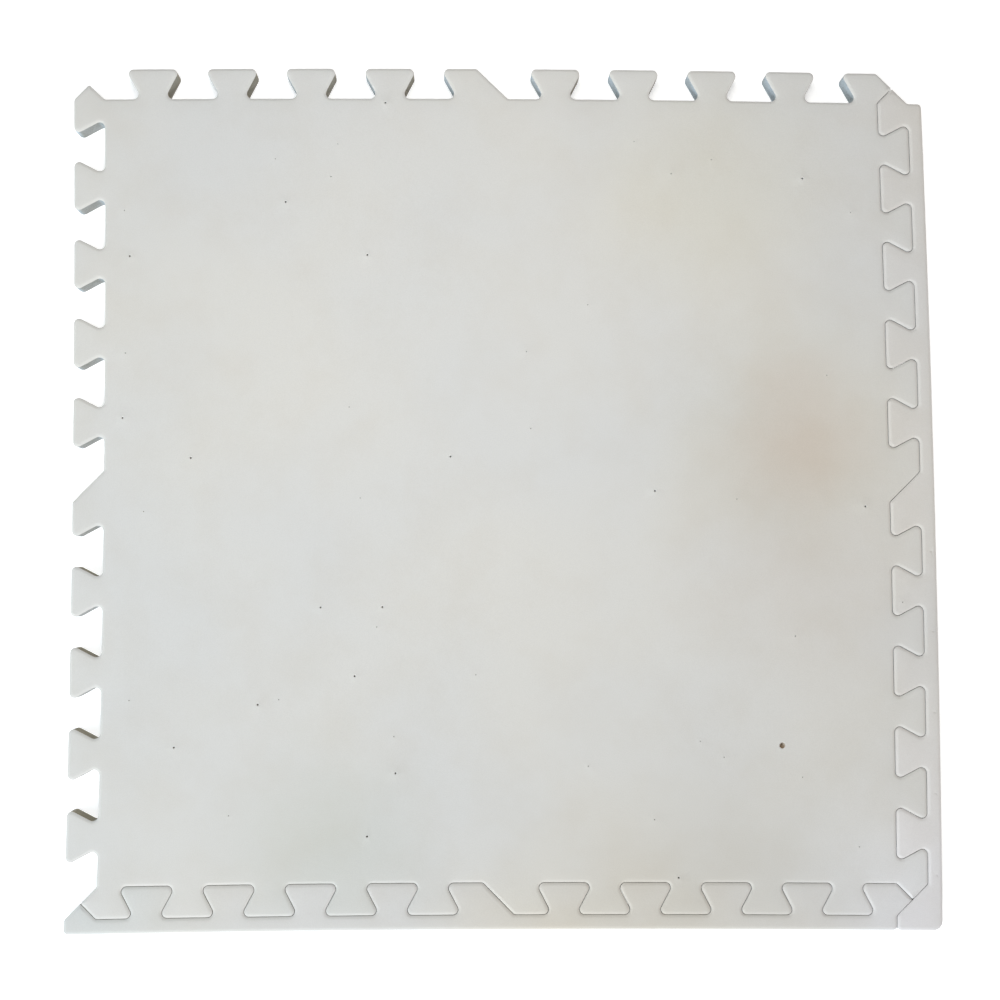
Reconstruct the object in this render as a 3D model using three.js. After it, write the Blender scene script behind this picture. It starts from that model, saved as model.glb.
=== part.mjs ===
// A set of interlocking foam blocking mats: one square tile with dovetail teeth on all four sides,
// a straight border strip along its front side and a corner border strip along its right side.
// Units are millimetres and +Z is up. The tile is centred on the origin and lies on the plane z = 0.
import * as THREE from "three";

// Driving dimensions.
const TILE_SIDE = 600; // side of the square that one tile fills in a run of tiles
const THICKNESS = 12;
const TOOTH_PITCH = 58.7;
const TOOTH_REACH = 11.4; // how far a tooth stands out past the side line, and a gap goes in behind it
const FLANK_ANGLE = 28; // lean of a tooth's flank, in degrees, so that the tooth is widest at its tip
const TEETH_PER_HALF = 5; // on each half of a side, counting the one that the diagonal cuts short
const TOOTH_CORNER_RADIUS = 3.8;
const BLUNT_CORNER_RADIUS = 3; // where a diagonal meets the teeth
const TILE_CORNER_RADIUS = 1.5;
const BORDER_REACH = 21.8; // from the side line to a border's straight outer edge
const BORDER_END_RADIUS = 3;
const BORDER_CORNER_RADIUS = 7;
const SEAM_GAP = 0.5; // width of the gap between two pieces that are joined
const EDGE_BREAK = 0.8; // bevel that softens every top and bottom edge
const ARC_STEPS = 2; // three.js draws an arc with twice this many straight steps

const HALF_SIDE = TILE_SIDE / 2;
// What whole pitches leave over of a half side is shared equally by its two ends.
const FIRST_FLANK = (HALF_SIDE - (TEETH_PER_HALF - 1) * TOOTH_PITCH) / 2;
const FLANK_RUN = TOOTH_REACH * Math.tan(THREE.MathUtils.degToRad(FLANK_ANGLE));

// A corner of an outline, in millimetres along a side and outwards from it.
function corner(along, out, radius) {
  return { along, out, radius };
}

// The toothed line of one half of a side. It starts with a diagonal down to the foot of the teeth and
// ends at the tip of a tooth. Turned half a turn about its middle, it fits into itself.
function toothedHalf(start) {
  const line = [corner(start + TOOTH_REACH, -TOOTH_REACH, BLUNT_CORNER_RADIUS)];
  for (let tooth = 0; tooth < TEETH_PER_HALF; tooth += 1) {
    const near = start + FIRST_FLANK + tooth * TOOTH_PITCH;
    const far = near + TOOTH_PITCH / 2;
    line.push(corner(near + FLANK_RUN, -TOOTH_REACH, TOOTH_CORNER_RADIUS));
    line.push(corner(near - FLANK_RUN, TOOTH_REACH, TOOTH_CORNER_RADIUS));
    if (tooth < TEETH_PER_HALF - 1) {
      line.push(corner(far + FLANK_RUN, TOOTH_REACH, TOOTH_CORNER_RADIUS));
      line.push(corner(far - FLANK_RUN, -TOOTH_REACH, TOOTH_CORNER_RADIUS));
    }
  }
  line.push(corner(start + HALF_SIDE - TOOTH_REACH, TOOTH_REACH, BLUNT_CORNER_RADIUS));
  return line;
}

// The toothed line of one whole side, from the tile corner where it starts to the one where it ends.
function toothedSide() {
  return [
    corner(0, 0, TILE_CORNER_RADIUS),
    ...toothedHalf(0),
    ...toothedHalf(HALF_SIDE),
    corner(TILE_SIDE, 0, TILE_CORNER_RADIUS),
  ];
}

// Moves corners from a side's own (along, out) to (x, y). Side 0 is the back one, which runs to +X,
// and each next side is a quarter turn clockwise from it, seen from above.
function placeOnSide(corners, side) {
  return corners.map(({ along, out, radius }) => {
    const point = new THREE.Vector2(along - HALF_SIDE, HALF_SIDE + out);
    point.rotateAround(new THREE.Vector2(0, 0), (-side * Math.PI) / 2);
    return { point, radius };
  });
}

// The tile: the same toothed line four times round.
function tileOutline() {
  const oneSide = toothedSide().slice(0, -1); // the last corner is the next side's first
  return [0, 1, 2, 3].flatMap((side) => placeOnSide(oneSide, side));
}

// The border piece that ends square to its side at both ends.
function straightBorderOutline(side) {
  const end = TILE_SIDE + TOOTH_REACH;
  return placeOnSide(
    [
      ...toothedSide(),
      corner(end, TOOTH_REACH, BLUNT_CORNER_RADIUS),
      corner(end, BORDER_REACH, BORDER_END_RADIUS),
      corner(TOOTH_REACH, BORDER_REACH, BORDER_END_RADIUS),
      corner(TOOTH_REACH, TOOTH_REACH, BLUNT_CORNER_RADIUS),
    ],
    side,
  );
}

// The border piece that turns the tile's corner, up to the end of the straight border. Its last tooth
// gap runs straight on past the tile's corner.
function cornerBorderOutline(side) {
  const turn = TILE_SIDE + BORDER_REACH;
  return placeOnSide(
    [
      ...toothedSide().slice(0, -1),
      corner(TILE_SIDE + TOOTH_REACH, -TOOTH_REACH, BLUNT_CORNER_RADIUS),
      corner(turn, -TOOTH_REACH, BORDER_END_RADIUS),
      corner(turn, BORDER_REACH, BORDER_CORNER_RADIUS),
      corner(TOOTH_REACH, BORDER_REACH, BORDER_END_RADIUS),
      corner(TOOTH_REACH, TOOTH_REACH, BLUNT_CORNER_RADIUS),
    ],
    side,
  );
}

// An outline as a closed shape with rounded corners, drawn in by half the seam gap all the way round.
function shapeOf(outline) {
  const corners = THREE.ShapeUtils.isClockWise(outline.map((c) => c.point))
    ? outline.toReversed()
    : outline;
  const inset = SEAM_GAP / 2;
  const shape = new THREE.Shape();
  corners.forEach(({ point, radius }, i) => {
    const before = corners.at(i - 1).point;
    const after = corners[(i + 1) % corners.length].point;
    const arriving = point.clone().sub(before).normalize();
    const leaving = after.clone().sub(point).normalize();
    const turn = Math.atan2(arriving.cross(leaving), arriving.dot(leaving));
    const side = Math.sign(turn); // 1 where the outline turns left, so the corner points out
    const arcRadius = radius - side * inset;
    // The arc's centre lies on the line that halves the corner.
    const inwards = new THREE.Vector2(-arriving.y, arriving.x)
      .add(new THREE.Vector2(-leaving.y, leaving.x))
      .normalize();
    const centre = point.clone().addScaledVector(inwards, (side * radius) / Math.cos(turn / 2));
    const startAngle = Math.atan2(-side * arriving.x, side * arriving.y);
    shape.absarc(centre.x, centre.y, arcRadius, startAngle, startAngle + turn, side < 0);
  });
  return shape;
}

// One foam piece: its outline cut from a flat sheet, with softened edges.
function foamPiece(name, outline, color) {
  const geometry = new THREE.ExtrudeGeometry(shapeOf(outline), {
    depth: THICKNESS - 2 * EDGE_BREAK,
    curveSegments: ARC_STEPS,
    bevelThickness: EDGE_BREAK,
    bevelSize: EDGE_BREAK,
    bevelOffset: -EDGE_BREAK,
    bevelSegments: 1,
  });
  geometry.translate(0, 0, EDGE_BREAK);
  const mesh = new THREE.Mesh(geometry, new THREE.MeshStandardMaterial({ color, roughness: 0.9 }));
  mesh.name = name;
  return mesh;
}

const RIGHT_SIDE = 1;
const FRONT_SIDE = 2;

const group = new THREE.Group();
group.name = "blocking_mats";
group.add(foamPiece("mat_tile", tileOutline(), 0xd9d9d4));
group.add(foamPiece("straight_border", straightBorderOutline(FRONT_SIDE), 0xd2d1cc));
group.add(foamPiece("corner_border", cornerBorderOutline(RIGHT_SIDE), 0xcfcec9));

export default group;
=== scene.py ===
import math
import random

import bpy
import numpy as np
from mathutils import Euler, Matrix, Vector, noise
from mathutils.geometry import delaunay_2d_cdt


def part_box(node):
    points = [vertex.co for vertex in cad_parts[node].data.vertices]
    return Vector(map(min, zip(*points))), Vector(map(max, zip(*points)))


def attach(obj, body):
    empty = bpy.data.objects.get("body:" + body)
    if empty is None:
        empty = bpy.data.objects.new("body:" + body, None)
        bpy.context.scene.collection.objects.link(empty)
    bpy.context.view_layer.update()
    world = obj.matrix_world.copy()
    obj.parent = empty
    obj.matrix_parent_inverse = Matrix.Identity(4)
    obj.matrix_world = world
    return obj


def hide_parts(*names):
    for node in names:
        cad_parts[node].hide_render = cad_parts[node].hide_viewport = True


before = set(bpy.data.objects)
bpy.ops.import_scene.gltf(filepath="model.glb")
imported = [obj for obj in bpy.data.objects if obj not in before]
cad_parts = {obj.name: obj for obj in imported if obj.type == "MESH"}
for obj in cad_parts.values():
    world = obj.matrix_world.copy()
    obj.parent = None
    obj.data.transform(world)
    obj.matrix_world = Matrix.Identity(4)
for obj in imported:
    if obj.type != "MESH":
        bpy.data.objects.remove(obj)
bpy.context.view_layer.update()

MM = 0.001

# Driving dimensions of the mats, in millimetres.
TILE_SIDE = 600
THICKNESS = (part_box("mat_tile")[1][2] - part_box("mat_tile")[0][2]) / MM
TOOTH_PITCH = 58.7
TOOTH_REACH = 11.4
FLANK_ANGLE = 28
TEETH_PER_HALF = 5
TOOTH_CORNER_RADIUS = 3.8
BLUNT_CORNER_RADIUS = 3
TILE_CORNER_RADIUS = 1.5
BORDER_REACH = 21.8
BORDER_END_RADIUS = 3
BORDER_CORNER_RADIUS = 7
SEAM_GAP = 0.12  # pressed home, the soft foam closes most of the clearance

HALF_SIDE = TILE_SIDE / 2
FIRST_FLANK = (HALF_SIDE - (TEETH_PER_HALF - 1) * TOOTH_PITCH) / 2
FLANK_RUN = TOOTH_REACH * math.tan(math.radians(FLANK_ANGLE))

# How finely the foam is meshed.
ARC_STEP_ANGLE = math.radians(11)
EDGE_STEP = 6  # longest step along a straight edge
SKIN_STEP = 9  # spacing of the points inside a top face
UNDERSIDE_STEP = 3 * SKIN_STEP
JITTER = 0.3  # how far those points stray from a grid, as a share of their spacing
EDGE_CLEARANCE = 0.35  # how near the face's edge they may lie, as a share of their spacing
MARK_SIDES = 12  # points round each ring of a mark
MARK_CLEARANCE = 1  # least distance from a mark's last ring to a point of the face
ROUNDED_SHARE = 0.9  # how much of a tight corner's radius its rounded edge may take up

# The soft edge of cut foam, as distances in from the outline, each with how far the surface there lies
# below the top face or above the underside. The top edge slopes away before it turns down into the wall.
TOP_EDGE = ((0, 1.2), (0.06, 0.9), (0.2, 0.73), (0.5, 0.59), (1.0, 0.38), (1.5, 0.19), (2.0, 0.06), (2.6, 0))
BOTTOM_EDGE = ((0.8, 0), (0.3, 0.1), (0.08, 0.35), (0, 0.8))
WALL_HEIGHTS = (THICKNESS * 0.36, THICKNESS * 0.64)


def edge_profile():
    """The rings of an edge as (distance in, height above the underside), from below to the top face."""
    rings = [*BOTTOM_EDGE, *((0, height) for height in WALL_HEIGHTS)]
    rings.extend((inset, THICKNESS - drop) for inset, drop in TOP_EDGE)
    return rings


EDGE_PROFILE = edge_profile()
WALL_FIRST = len(BOTTOM_EDGE) - 2  # the rings between which the cut wall shows
WALL_LAST = len(BOTTOM_EDGE) + len(WALL_HEIGHTS) + 1

# The cut wall wavers: how deep its ripples are, and how long, along the edge and up it.
RIPPLE_DEPTH = 0.05
RIPPLE_LENGTH = 5
RIPPLE_HEIGHT = 4

# The slow waves in the foam's faces, as (length, height, layer of the noise).
BROAD_WAVES = (170, 0.22, 3.1)
CLOSE_WAVES = (46, 0.07, 8.7)

# The borders lie a hair lower than the tile.
STRAIGHT_BORDER_LEVEL = -0.06
CORNER_BORDER_LEVEL = -0.08

# The mats don't lie dead true: their middles bow a little to the right and to the back, and they are
# stretched a little from the back left corner to the front right one.
BOW_RIGHT = 2.3
BOW_BACK = 2.1
DIAGONAL_STRETCH = 0.9

SKIN, WALL, PIERCED, TORN = 0, 1, 2, 3  # material slots of every piece


# ---------------------------------------------------------------- outlines


def tooth_corners(start):
    """The toothed line of half a side, as (along, outwards, corner radius)."""
    line = [(start + TOOTH_REACH, -TOOTH_REACH, BLUNT_CORNER_RADIUS)]
    for tooth in range(TEETH_PER_HALF):
        near = start + FIRST_FLANK + tooth * TOOTH_PITCH
        far = near + TOOTH_PITCH / 2
        line.append((near + FLANK_RUN, -TOOTH_REACH, TOOTH_CORNER_RADIUS))
        line.append((near - FLANK_RUN, TOOTH_REACH, TOOTH_CORNER_RADIUS))
        if tooth < TEETH_PER_HALF - 1:
            line.append((far + FLANK_RUN, TOOTH_REACH, TOOTH_CORNER_RADIUS))
            line.append((far - FLANK_RUN, -TOOTH_REACH, TOOTH_CORNER_RADIUS))
    line.append((start + HALF_SIDE - TOOTH_REACH, TOOTH_REACH, BLUNT_CORNER_RADIUS))
    return line


def side_corners():
    """The toothed line of one side without its last corner, which is the next side's first."""
    return [(0, 0, TILE_CORNER_RADIUS), *tooth_corners(0), *tooth_corners(HALF_SIDE)]


def on_side(corners, side):
    """Corners in a side's own frame as (point, radius). Side 0 is the back, and they go clockwise."""
    placed = []
    for along, out, radius in corners:
        x, y = along - HALF_SIDE, HALF_SIDE + out
        for _ in range(side):
            x, y = y, -x
        placed.append((Vector((x, y)), radius))
    return placed


def tile_corners():
    return [corner for side in range(4) for corner in on_side(side_corners(), side)]


def straight_border_corners():
    end = TILE_SIDE + TOOTH_REACH
    corners = [
        *side_corners(),
        (TILE_SIDE, 0, TILE_CORNER_RADIUS),
        (end, TOOTH_REACH, BLUNT_CORNER_RADIUS),
        (end, BORDER_REACH, BORDER_END_RADIUS),
        (TOOTH_REACH, BORDER_REACH, BORDER_END_RADIUS),
        (TOOTH_REACH, TOOTH_REACH, BLUNT_CORNER_RADIUS),
    ]
    return on_side(corners, 2)


def corner_border_corners():
    turn = TILE_SIDE + BORDER_REACH
    corners = [
        *side_corners(),
        (TILE_SIDE + TOOTH_REACH, -TOOTH_REACH, BLUNT_CORNER_RADIUS),
        (turn, -TOOTH_REACH, BORDER_END_RADIUS),
        (turn, BORDER_REACH, BORDER_CORNER_RADIUS),
        (TOOTH_REACH, BORDER_REACH, BORDER_END_RADIUS),
        (TOOTH_REACH, TOOTH_REACH, BLUNT_CORNER_RADIUS),
    ]
    return on_side(corners, 1)


def signed_area(points):
    return sum(a.x * b.y - b.x * a.y for a, b in zip(points, points[1:] + points[:1])) / 2


def corner_arc(before, point, radius, after):
    """The rounded corner at a point, between the corners before and after it, as (point, normal, room).

    The room is how far the edge can be rounded there before it passes the centre of a tight corner.
    """
    arriving = (point - before).normalized()
    leaving = (after - point).normalized()
    turn = math.atan2(arriving.cross(leaving), arriving.dot(leaving))
    way = math.copysign(1, turn)
    inwards = Vector((-arriving.y - leaving.y, arriving.x + leaving.x)).normalized()
    centre = point + inwards * way * radius / math.cos(turn / 2)
    steps = max(2, math.ceil(abs(turn) / ARC_STEP_ANGLE))
    room = ROUNDED_SHARE * (radius - SEAM_GAP / 2) if turn > 0 else math.inf
    arc = []
    for step in range(steps + 1):
        angle = turn * step / steps
        normal_x = arriving.y * math.cos(angle) + arriving.x * math.sin(angle)
        normal_y = arriving.y * math.sin(angle) - arriving.x * math.cos(angle)
        normal = Vector((normal_x, normal_y))
        arc.append((centre + normal * (way * radius - SEAM_GAP / 2), normal, room))
    return arc


def outline(corners):
    """Points round a piece, anticlockwise, drawn in by half the seam gap, as (point, normal, room)."""
    if signed_area([point for point, _ in corners]) < 0:
        corners = corners[::-1]
    arcs = []
    for i, (point, radius) in enumerate(corners):
        before, after = corners[i - 1][0], corners[(i + 1) % len(corners)][0]
        arcs.append(corner_arc(before, point, radius, after))
    points = []
    for i, arc in enumerate(arcs):
        points.extend(arc)
        end, normal, _ = arc[-1]
        following = arcs[(i + 1) % len(arcs)][0][0]
        steps = math.ceil((following - end).length / EDGE_STEP)
        for step in range(1, steps):
            points.append((end.lerp(following, step / steps), normal, math.inf))
    return points


def drawn_in(edge, inset):
    """The edge's points moved inwards by the inset, or by as much of it as there is room for."""
    return [point - normal * min(inset, room) for point, normal, room in edge]


# ---------------------------------------------------------------- marks in the foam

# A kind of mark is how much longer it is along X than along Y, the radius inside which the foam is
# broken, that foam's material slot, and its rings as (radius, height) from the middle outwards.
PIN_HOLE = (1, 0.65, PIERCED, ((0, -2.0), (0.38, -1.2), (0.65, -0.1), (1.0, 0.16), (1.7, 0)))
FINE_PIN_HOLE = (1, 0.36, PIERCED, ((0, -1.2), (0.2, -0.7), (0.36, -0.05), (0.6, 0.08), (1.1, 0)))
PLUCKED_HOLE = (
    0.85,
    2.2,
    TORN,
    ((0, -1.7), (0.8, -1.9), (1.5, -1.3), (2.2, -0.1), (2.7, 0.15), (3.6, 0.05), (4.8, 0)),
)
CREASE = (2.8, 0, SKIN, ((0, -0.45), (0.4, -0.34), (0.8, -0.1), (1.4, 0)))


# ---------------------------------------------------------------- foam pieces


def wave_height(x, y, waves):
    length, height, layer = waves
    return height * noise.noise(Vector((x / length, y / length, layer)))


def height_at(x, y):
    """The slow rise and fall of the foam's faces, shared by joined pieces so that they stay level."""
    return wave_height(x, y, BROAD_WAVES) + wave_height(x, y, CLOSE_WAVES)


def bowed(x, y):
    """Where a place on dead true mats lies on the real ones."""
    across, along = x / HALF_SIDE, y / HALF_SIDE
    return (
        x + BOW_RIGHT * (1 - along**2) - DIAGONAL_STRETCH * along,
        y + BOW_BACK * (1 - across**2) - DIAGONAL_STRETCH * across,
    )


def inside(points, ring):
    """For each point, whether it is inside the ring, and how far it is from it."""
    starts = np.array([(p.x, p.y) for p in ring])
    ends = np.roll(starts, -1, axis=0)
    start_x, start_y = starts.T
    run, rise = (ends - starts).T
    x, y = points[:, :1], points[:, 1:]
    crosses = (start_y > y) != (ends[:, 1] > y)
    crossing_x = start_x + (y - start_y) * run / np.where(rise == 0, 1, rise)
    is_in = (crosses & (x < crossing_x)).sum(axis=1) % 2 == 1
    share = ((x - start_x) * run + (y - start_y) * rise) / (run**2 + rise**2)
    share = share.clip(0, 1)
    away = np.hypot(x - start_x - share * run, y - start_y - share * rise)
    return is_in, away.min(axis=1)


def scattered(ring, step, seed):
    """A jittered grid of points inside a ring, clear of its edge."""
    rng = np.random.default_rng(seed)
    low = np.array([min(p.x for p in ring), min(p.y for p in ring)])
    high = np.array([max(p.x for p in ring), max(p.y for p in ring)])
    columns, rows = np.ceil((high - low) / step).astype(int) + 1
    grid = np.stack(np.meshgrid(np.arange(columns), np.arange(rows)), axis=-1).reshape(-1, 2)
    points = low + (grid + rng.uniform(-JITTER, JITTER, grid.shape)) * step
    is_in, away = inside(points, ring)
    return points[is_in & (away > step * EDGE_CLEARANCE)]


def face_points(ring, marks, step, seed):
    """The points of one face inside its ring, as (x, y, height, material slot)."""
    points = []
    for x, y, (stretch, broken, slot, rings) in marks:
        for radius, height in rings:
            around = 1 if radius == 0 else MARK_SIDES
            for k in range(around):
                angle = math.tau * (k + radius) / around
                across, along = radius * stretch * math.cos(angle), radius * math.sin(angle)
                points.append((x + across, y + along, height, slot if radius < broken else SKIN))
    for x, y in scattered(ring, step, seed):
        clear = (
            math.hypot((x - mx) / stretch, y - my) > rings[-1][0] + MARK_CLEARANCE
            for mx, my, (stretch, _, _, rings) in marks
        )
        if all(clear):
            points.append((x, y, 0, SKIN))
    return points


def triangulated(ring, inner):
    """Triangles over a ring and the points inside it, as indices into ring + inner."""
    flat = [Vector((p.x, p.y)) for p in ring] + [Vector(p[:2]) for p in inner]
    _, _, triangles, origins, _, _ = delaunay_2d_cdt(flat, [], [list(range(len(ring)))], 1, 1e-6)
    return [[origins[v][0] for v in triangle] for triangle in triangles]


def vertex(x, y, z):
    moved_x, moved_y = bowed(x, y)
    return moved_x * MM, moved_y * MM, z * MM


def wall_vertices(edge, level, seed):
    """The rings of a piece's rounded edge, from below to the top face."""
    vertices = []
    for ring, (inset, z) in enumerate(EDGE_PROFILE):
        for at, (_, normal, _) in zip(drawn_in(edge, inset), edge):
            if WALL_FIRST <= ring <= WALL_LAST:
                spot = Vector((at.x / RIPPLE_LENGTH, at.y / RIPPLE_LENGTH, z / RIPPLE_HEIGHT + seed))
                at = at - normal * (RIPPLE_DEPTH + RIPPLE_DEPTH * noise.noise(spot))
            rise = height_at(at.x, at.y) + level if z > THICKNESS / 2 else 0
            vertices.append(vertex(at.x, at.y, z + rise))
    return vertices


def wall_faces(count):
    """Quads between the rings of an edge that has count points, and their material slots."""
    faces, slots = [], []
    for ring in range(len(EDGE_PROFILE) - 1):
        low, high = ring * count, (ring + 1) * count
        for i in range(count):
            j = (i + 1) % count
            faces.append((low + i, low + j, high + j, high + i))
            slots.append(WALL if WALL_FIRST <= ring < WALL_LAST else SKIN)
    return faces, slots


def cap_faces(ring, ring_start, inner, inner_start):
    """Triangles over a ring and the points inside it, as vertex numbers, and their material slots."""
    count = len(ring)
    faces, slots = [], []
    for triangle in triangulated(ring, inner):
        faces.append([ring_start + v if v < count else inner_start + v - count for v in triangle])
        slots.append(max(inner[v - count][3] if v >= count else SKIN for v in triangle))
    return faces, slots


def foam_piece(name, corners, marks, level, seed):
    """A closed foam piece: a rounded, slightly uneven wall between a marked top face and an underside."""
    edge = outline(corners)
    vertices = wall_vertices(edge, level, seed)
    faces, slots = wall_faces(len(edge))

    top = drawn_in(edge, EDGE_PROFILE[-1][0])
    inner = face_points(top, marks, SKIN_STEP, seed)
    top_faces, top_slots = cap_faces(top, len(vertices) - len(edge), inner, len(vertices))
    for x, y, height, _ in inner:
        vertices.append(vertex(x, y, THICKNESS + height_at(x, y) + level + height))

    under = drawn_in(edge, EDGE_PROFILE[0][0])
    inner = face_points(under, [], UNDERSIDE_STEP, seed + 1)
    under_faces, under_slots = cap_faces(under, 0, inner, len(vertices))
    for x, y, _, _ in inner:
        vertices.append(vertex(x, y, 0))

    faces += top_faces + [face[::-1] for face in under_faces]
    slots += top_slots + under_slots
    mesh = bpy.data.meshes.new(name)
    mesh.from_pydata(vertices, [], faces)
    mesh.polygons.foreach_set("material_index", slots)
    mesh.polygons.foreach_set("use_smooth", [True] * len(faces))
    mesh.validate()
    piece = bpy.data.objects.new(name, mesh)
    bpy.context.collection.objects.link(piece)
    return piece


# ---------------------------------------------------------------- materials

# Scales of the noise and of the foam's cells, as how many there are to a metre.
CLOUD_SCALE = 5.5
STAIN_EDGE_SCALE = 11
HANDLING_SCALE = 26
SOIL_SCALE = 70
PEBBLE_SCALE = 260
GRAIN_SCALE = 1400
CUT_CELL_SCALE = 1700
TORN_CELL_SCALE = 420
FLOOR_MOTTLE_SCALE = 3

COOL_SKIN = (0.590, 0.592, 0.584)
WARM_SKIN = (0.608, 0.600, 0.574)
SMUDGE = (0.975, 0.965, 0.95)
SKIN_ROUGHNESS = (0.54, 0.66)  # from well handled to untouched
STAIN_WANDER = 0.07  # how far a stain's ragged edge wanders, in metres
PAINTED_SHADE_SIDE = (0.8, 0.6, 0)  # the way the cut walls with painted warm, dull shade face
FULL_PAINTED_LIGHT_AND_SHADE_AT = 0.9  # cosine of the angle to that side within which a wall gets the full painted shade, and away from it the full painted cool light
FLOOR_GLOW = 0.45  # the floor glows so that the mats' shadows all but vanish


def new_material(name, roughness, specular):
    material = bpy.data.materials.new(name)
    material.use_nodes = True
    shader = material.node_tree.nodes["Principled BSDF"]
    shader.inputs["Roughness"].default_value = roughness
    shader.inputs["Specular IOR Level"].default_value = specular
    return material, shader


def noise_node(tree, coordinates, scale, detail, roughness):
    node = tree.nodes.new("ShaderNodeTexNoise")
    node.inputs["Scale"].default_value = scale
    node.inputs["Detail"].default_value = detail
    node.inputs["Roughness"].default_value = roughness
    tree.links.new(coordinates, node.inputs["Vector"])
    return node.outputs["Fac"]


def ramp_node(tree, factor, stops):
    node = tree.nodes.new("ShaderNodeValToRGB")
    ramp = node.color_ramp
    while len(ramp.elements) < len(stops):
        ramp.elements.new(0.5)
    for element, (position, color) in zip(ramp.elements, stops):
        element.position = position
        element.color = (*color, 1)
    tree.links.new(factor, node.inputs["Fac"])
    return node.outputs["Color"]


def multiplied(tree, first, second):
    node = tree.nodes.new("ShaderNodeMix")
    node.data_type = "RGBA"
    node.blend_type = "MULTIPLY"
    node.inputs["Factor"].default_value = 1.0
    tree.links.new(first, node.inputs["A"])
    tree.links.new(second, node.inputs["B"])
    return node.outputs["Result"]


def bump_node(tree, height, strength, distance, before=None):
    node = tree.nodes.new("ShaderNodeBump")
    node.inputs["Strength"].default_value = strength
    node.inputs["Distance"].default_value = distance
    tree.links.new(height, node.inputs["Height"])
    if before is not None:
        tree.links.new(before, node.inputs["Normal"])
    return node.outputs["Normal"]


def place_node(tree):
    """Coordinates in metres in the mats' own frame."""
    return tree.nodes.new("ShaderNodeTexCoord").outputs["Object"]


# Faint old stains and paler patches in the faces, as (x, y, radius, tint), in millimetres. The first two
# run across the seam between the tile and the straight border.
FRONT_STAIN = (90, -370, 185, (0.975, 0.925, 0.83))
PALE_CORNER = (312, -308, 115, (1.11, 1.12, 1.17))
TILE_STAINS = (
    FRONT_STAIN,
    PALE_CORNER,
    (215, 38, 132, (0.94, 0.92, 0.865)),
    (222, 40, 76, (0.97, 0.905, 0.875)),
    (228, -60, 120, (0.945, 0.925, 0.915)),
    (160, 225, 130, (1.0, 0.98, 0.915)),
    (-122, -265, 100, (0.91, 0.925, 0.90)),
    (165, -270, 120, (0.96, 0.955, 0.945)),
)
STRAIGHT_BORDER_STAINS = (FRONT_STAIN, PALE_CORNER, (-300, -300, 130, (0.97, 1.0, 1.01)))
CORNER_BORDER_STAINS = ((310, -300, 190, (1.13, 1.14, 1.20)),)


def stained(tree, place, color, stain):
    """Tints a colour inside a ragged round patch that fades out towards its radius."""
    x, y, radius, tint = stain
    wander = tree.nodes.new("ShaderNodeTexNoise")
    wander.inputs["Scale"].default_value = STAIN_EDGE_SCALE
    tree.links.new(place, wander.inputs["Vector"])
    ragged = tree.nodes.new("ShaderNodeVectorMath")
    ragged.operation = "MULTIPLY_ADD"
    tree.links.new(wander.outputs["Color"], ragged.inputs[0])
    ragged.inputs[1].default_value = (STAIN_WANDER, STAIN_WANDER, 0)
    tree.links.new(place, ragged.inputs[2])
    mean_wander = STAIN_WANDER / 2
    away = tree.nodes.new("ShaderNodeVectorMath")
    away.operation = "DISTANCE"
    tree.links.new(ragged.outputs["Vector"], away.inputs[0])
    away.inputs[1].default_value = (x * MM + mean_wander, y * MM + mean_wander, THICKNESS * MM)
    fade = tree.nodes.new("ShaderNodeMapRange")
    fade.interpolation_type = "SMOOTHSTEP"
    fade.inputs["From Min"].default_value = radius * MM
    fade.inputs["From Max"].default_value = 0
    tree.links.new(away.outputs["Value"], fade.inputs["Value"])
    return multiplied(tree, color, ramp_node(tree, fade.outputs["Result"], ((0, (1, 1, 1)), (1, tint))))


def skin_color(tree, place, tint, stains, handling, grain):
    """The skin's colour: faint clouds under stains, smudges from handling and a speckled grain."""
    cool = tuple(c * t for c, t in zip(COOL_SKIN, tint))
    warm = tuple(c * t for c, t in zip(WARM_SKIN, tint))
    clouds = noise_node(tree, place, CLOUD_SCALE, detail=2.0, roughness=0.45)
    color = ramp_node(tree, clouds, ((0.36, cool), (0.64, warm)))
    for stain in stains:
        color = stained(tree, place, color, stain)
    smudges = ramp_node(tree, handling, ((0.30, SMUDGE), (0.58, (1, 1, 1))))
    color = multiplied(tree, color, smudges)
    speckle = ramp_node(tree, grain, ((0.32, (0.95, 0.95, 0.95)), (0.62, (1.0, 1.0, 1.0))))
    return multiplied(tree, color, speckle)


def skin_material(name, tint, stains):
    """The smooth, matt outer skin of the foam sheet, faintly clouded, with a fine pebbled grain."""
    material, shader = new_material(name, roughness=0.6, specular=0.4)
    tree = material.node_tree
    place = place_node(tree)
    handling = noise_node(tree, place, HANDLING_SCALE, detail=4.0, roughness=0.6)
    grain = noise_node(tree, place, GRAIN_SCALE, detail=2.0, roughness=0.6)
    color = skin_color(tree, place, tint, stains, handling, grain)
    tree.links.new(color, shader.inputs["Base Color"])
    shine = tree.nodes.new("ShaderNodeMapRange")
    shine.inputs["To Min"].default_value, shine.inputs["To Max"].default_value = SKIN_ROUGHNESS
    tree.links.new(handling, shine.inputs["Value"])
    tree.links.new(shine.outputs["Result"], shader.inputs["Roughness"])
    pebbles = noise_node(tree, place, PEBBLE_SCALE, detail=3.0, roughness=0.6)
    normal = bump_node(tree, pebbles, strength=0.12, distance=0.0006)
    normal = bump_node(tree, grain, strength=0.25, distance=0.00012, before=normal)
    tree.links.new(normal, shader.inputs["Normal"])
    return material


def cell_height(tree, place, scale):
    """The rims of foam cells as a height: high between cells and low in each."""
    cells = tree.nodes.new("ShaderNodeTexVoronoi")
    cells.inputs["Scale"].default_value = scale
    tree.links.new(place, cells.inputs["Vector"])
    return cells.outputs["Distance"]


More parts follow.
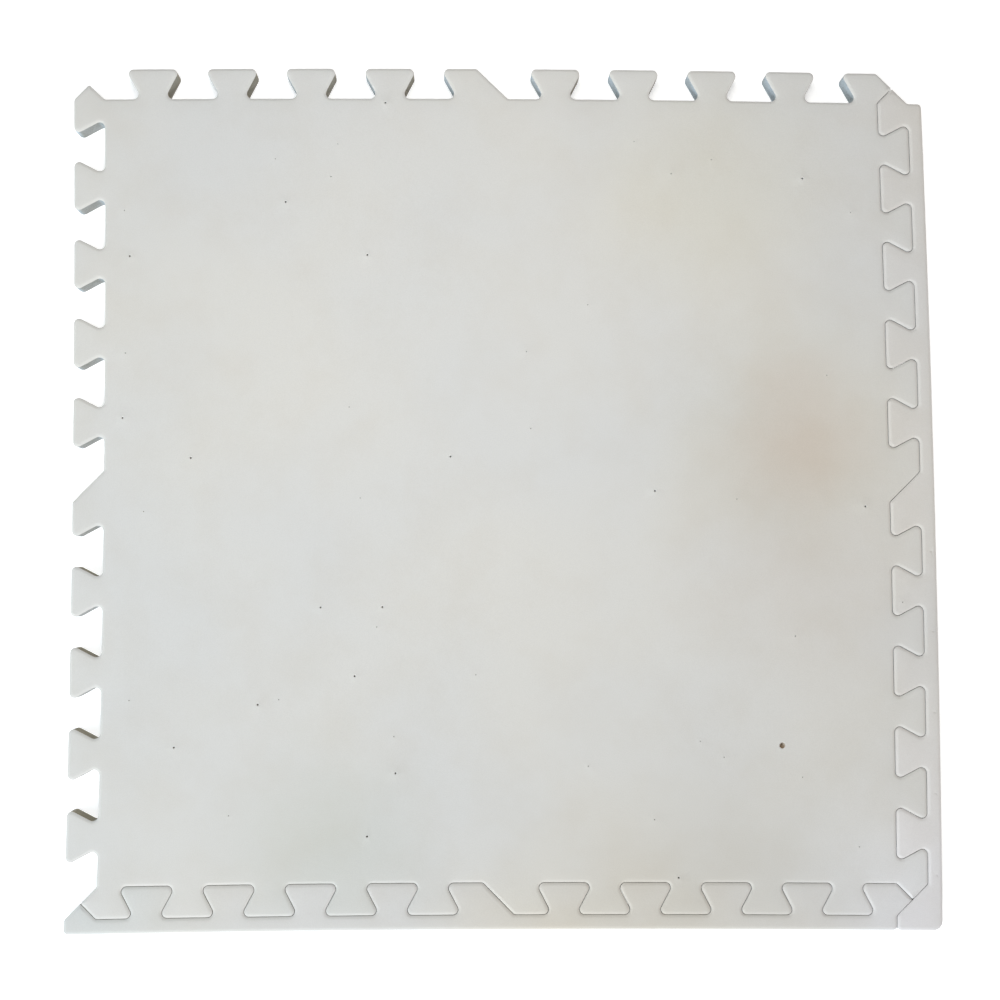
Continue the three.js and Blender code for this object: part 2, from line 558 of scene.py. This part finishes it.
def painted_light_and_shade_by_side(tree, color):
    """Paints light and shade into a wall's colour by the way it faces: painted cool light where it faces
    left or front, painted warm, dull shade where it faces right or back.
    """
    facing = tree.nodes.new("ShaderNodeVectorMath")
    facing.operation = "DOT_PRODUCT"
    normal = tree.nodes.new("ShaderNodeTexCoord").outputs["Normal"]
    tree.links.new(normal, facing.inputs[0])
    facing.inputs[1].default_value = PAINTED_SHADE_SIDE
    side = tree.nodes.new("ShaderNodeMapRange")
    side.inputs["From Min"].default_value = -FULL_PAINTED_LIGHT_AND_SHADE_AT
    side.inputs["From Max"].default_value = FULL_PAINTED_LIGHT_AND_SHADE_AT
    tree.links.new(facing.outputs["Value"], side.inputs["Value"])
    # painted cool light facing left and front, plain facing sideways, painted warm shade facing right and
    # back
    stops = ((0, (1.08, 1.25, 1.42)), (0.5, (0.92, 0.92, 0.90)), (1, (0.78, 0.71, 0.56)))
    return multiplied(tree, color, ramp_node(tree, side.outputs["Result"], stops))


def wall_material(name, dark, light, cell_scale):
    """A knife-cut wall or a torn hole: no skin, so its tiny cells show, darker low in each cell, with
    streaks of dirt.
    """
    material, shader = new_material(name, roughness=0.92, specular=0.15)
    tree = material.node_tree
    place = place_node(tree)
    cells = cell_height(tree, place, cell_scale)
    # darker low in each cell, then painted light and shade by the way the wall faces
    color = painted_light_and_shade_by_side(tree, ramp_node(tree, cells, ((0.10, dark), (0.55, light))))
    soil = noise_node(tree, place, SOIL_SCALE, detail=4.0, roughness=0.6)
    streaks = ramp_node(tree, soil, ((0.32, (0.84, 0.82, 0.77)), (0.62, (1, 1, 1))))
    tree.links.new(multiplied(tree, color, streaks), shader.inputs["Base Color"])
    normal = bump_node(tree, cells, strength=0.5, distance=0.00025)
    tree.links.new(normal, shader.inputs["Normal"])
    return material


def floor_material():
    """A plain pale floor, faintly mottled, that glows a little."""
    material, shader = new_material("pale_floor", roughness=0.9, specular=0.1)
    tree = material.node_tree
    mottle = noise_node(tree, place_node(tree), FLOOR_MOTTLE_SCALE, detail=2.0, roughness=0.5)
    color = ramp_node(tree, mottle, ((0.3, (0.90, 0.90, 0.90)), (0.7, (0.92, 0.92, 0.92))))
    tree.links.new(color, shader.inputs["Base Color"])
    shader.inputs["Emission Color"].default_value = (0.96, 0.98, 1.0, 1)
    shader.inputs["Emission Strength"].default_value = FLOOR_GLOW
    return material


# ---------------------------------------------------------------- the mats

# Holes left by blocking pins, as places on the top face in millimetres.
TILE_PIN_HOLES = (
    (-155, 210),
    (-80, 285),
    (-95, 170),
    (230, 230),
    (-275, 50),
    (-225, 20),
    (-270, 170),
    (-35, 20),
    (115, -5),
    (-130, -90),
    (-85, -90),
    (-105, -140),
    (-175, -160),
    (-235, -190),
    (-95, -255),
    (-75, -210),
    (130, -285),
    (270, -15),
)
STRAIGHT_BORDER_PIN_HOLES = ((133, -306),)
CORNER_BORDER_PIN_HOLES = ((296, -85),)
PLUCKED_PLACE = (206, -190)
FINE_HOLE_COUNT = 30
FINE_HOLE_MARGIN = 25  # how far inside the side line the scattered fine holes stay
FINE_HOLE_SPACING = 9  # how far apart they stay from each other and from the other marks
CREASE_OFFSET = 2  # how far out from the middle of the plain band the creases are


def tile_marks():
    """The tile's pin holes, the one plucked hole, and a scatter of finer holes."""
    rng = random.Random(5)
    marks = [(x, y, PIN_HOLE) for x, y in TILE_PIN_HOLES]
    marks.append((*PLUCKED_PLACE, PLUCKED_HOLE))
    fine = []
    reach = HALF_SIDE - FINE_HOLE_MARGIN
    while len(fine) < FINE_HOLE_COUNT:
        x, y = rng.uniform(-reach, reach), rng.uniform(-reach, reach)
        if all(math.hypot(x - mx, y - my) > FINE_HOLE_SPACING for mx, my, _ in marks + fine):
            fine.append((x, y, FINE_PIN_HOLE))
    return marks + fine


def crease_marks():
    """Short creases across the front half of the corner border's plain band, one beside each tooth."""
    across = HALF_SIDE + (TOOTH_REACH + BORDER_REACH) / 2 + CREASE_OFFSET
    marks = []
    for tooth in range(TEETH_PER_HALF):
        along = FIRST_FLANK + (tooth + 0.25) * TOOTH_PITCH  # the middle of a tooth, half a pitch wide
        marks.append((across, -along, CREASE))
    return marks


def place_piece(piece, node, materials):
    """Gives a piece its materials, in slot order, and its place in the frame."""
    for material in materials:
        piece.data.materials.append(material)
    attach(piece, node)
    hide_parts(node)


def make_tile(wall, pierced, torn):
    tile = foam_piece("foam_tile", tile_corners(), tile_marks(), level=0, seed=1)
    skin = skin_material("tile_skin", (1, 1, 1), TILE_STAINS)
    place_piece(tile, "mat_tile", (skin, wall, pierced, torn))


def make_straight_border(wall, pierced):
    marks = [(x, y, FINE_PIN_HOLE) for x, y in STRAIGHT_BORDER_PIN_HOLES]
    corners = straight_border_corners()
    border = foam_piece("foam_straight_border", corners, marks, STRAIGHT_BORDER_LEVEL, seed=2)
    skin = skin_material("straight_border_skin", (0.985, 0.98, 0.98), STRAIGHT_BORDER_STAINS)
    place_piece(border, "straight_border", (skin, wall, pierced))


def make_corner_border(wall, pierced):
    marks = [(x, y, FINE_PIN_HOLE) for x, y in CORNER_BORDER_PIN_HOLES] + crease_marks()
    corners = corner_border_corners()
    border = foam_piece("foam_corner_border", corners, marks, CORNER_BORDER_LEVEL, seed=3)
    skin = skin_material("corner_border_skin", (1.0, 0.985, 0.98), CORNER_BORDER_STAINS)
    place_piece(border, "corner_border", (skin, wall, pierced))


def make_mats():
    # The cut foam is painted much darker than the skin: partly its own duller tone, partly painted shade on
    # the walls.
    wall = wall_material("cut_foam", (0.20, 0.20, 0.19), (0.36, 0.36, 0.35), CUT_CELL_SCALE)
    # The inside of the pin holes: a darker copy of the cut foam, painted shade in the holes.
    pierced = wall_material("pierced_foam_painted_shade", (0.14, 0.14, 0.13), (0.26, 0.26, 0.24), CUT_CELL_SCALE)
    torn = wall_material("torn_foam", (0.06, 0.045, 0.03), (0.36, 0.28, 0.21), TORN_CELL_SCALE)
    make_tile(wall, pierced, torn)
    make_straight_border(wall, pierced)
    make_corner_border(wall, pierced)


# ---------------------------------------------------------------- floor, lights and camera

FLOOR_REACH = 4.0
FLOOR_LEVEL = -0.0002  # just under the mats

# The studio's soft disk lights, as name: (place, diameter, power, colour), aimed at the tile's middle:
# a key from the front, one overhead, and low ones at both sides, cool and warm.
LIGHTS = {
    "key": ((-0.5, -2.4, 1.35), 1.0, 58, (0.96, 0.985, 1.0)),
    "top": ((-0.05, 0.28, 0.95), 0.7, 5.65, (1.0, 0.985, 0.96)),
    "left": ((-1.3, -0.35, 0.55), 1.0, 7.4, (0.80, 0.93, 1.0)),
    "right": ((1.3, 0.1, 0.55), 1.0, 2.3, (1.0, 0.87, 0.78)),
}

# Where the studio's walls end and its ceiling begins, as the sine of the angle above the horizon.
WALLS_TO = 0.25
CEILING_FROM = 0.6

CAMERA_PLACE = (-0.0224, -0.0722, 0.8157)
CAMERA_TURN = (2.87, -0.77, -0.22)  # degrees away from looking straight down
FOCAL_LENGTH = 39.6
SENSOR_WIDTH = 36
CAMERA_SHIFT = (0.02, 0.03)


def make_floor():
    low, high = -FLOOR_REACH, FLOOR_REACH
    square = [(low, low), (high, low), (high, high), (low, high)]
    mesh = bpy.data.meshes.new("floor")
    mesh.from_pydata([(x, y, FLOOR_LEVEL) for x, y in square], [], [(0, 1, 2, 3)])
    mesh.materials.append(floor_material())
    floor = bpy.data.objects.new("floor", mesh)
    bpy.context.collection.objects.link(floor)


def area_light(name, place, diameter, power, color):
    data = bpy.data.lights.new(name, "AREA")
    data.shape = "DISK"
    data.size = diameter
    data.energy = power
    data.color = color
    light = bpy.data.objects.new(name, data)
    light.location = place
    light.rotation_euler = (-Vector(place)).to_track_quat("-Z", "Y").to_euler()
    light.visible_camera = False
    bpy.context.collection.objects.link(light)


def make_surroundings():
    """Pale studio walls all round, under a dim ceiling, so that edges that face outwards catch light."""
    world = bpy.data.worlds.new("studio")
    world.use_nodes = True
    tree = world.node_tree
    direction = tree.nodes.new("ShaderNodeTexCoord").outputs["Generated"]
    up = tree.nodes.new("ShaderNodeSeparateXYZ")
    tree.links.new(direction, up.inputs["Vector"])
    walls, ceiling = (0.72, 0.72, 0.71), (0.06, 0.06, 0.06)
    tone = ramp_node(tree, up.outputs["Z"], ((WALLS_TO, walls), (CEILING_FROM, ceiling)))
    tree.links.new(tone, tree.nodes["Background"].inputs["Color"])
    bpy.context.scene.world = world


def make_lights():
    for name, (place, diameter, power, color) in LIGHTS.items():
        area_light(name, place, diameter, power, color)
    make_surroundings()
    bpy.context.scene.view_settings.view_transform = "Standard"


def make_camera():
    """Held almost straight above the mats, a little towards their front left, and shifted to frame them."""
    data = bpy.data.cameras.new("camera")
    data.lens = FOCAL_LENGTH
    data.sensor_width = SENSOR_WIDTH
    data.shift_x, data.shift_y = CAMERA_SHIFT
    camera = bpy.data.objects.new("camera", data)
    camera.location = CAMERA_PLACE
    camera.rotation_euler = Euler([math.radians(angle) for angle in CAMERA_TURN])
    bpy.context.collection.objects.link(camera)
    bpy.context.scene.camera = camera


make_camera()
make_mats()
make_floor()
make_lights()
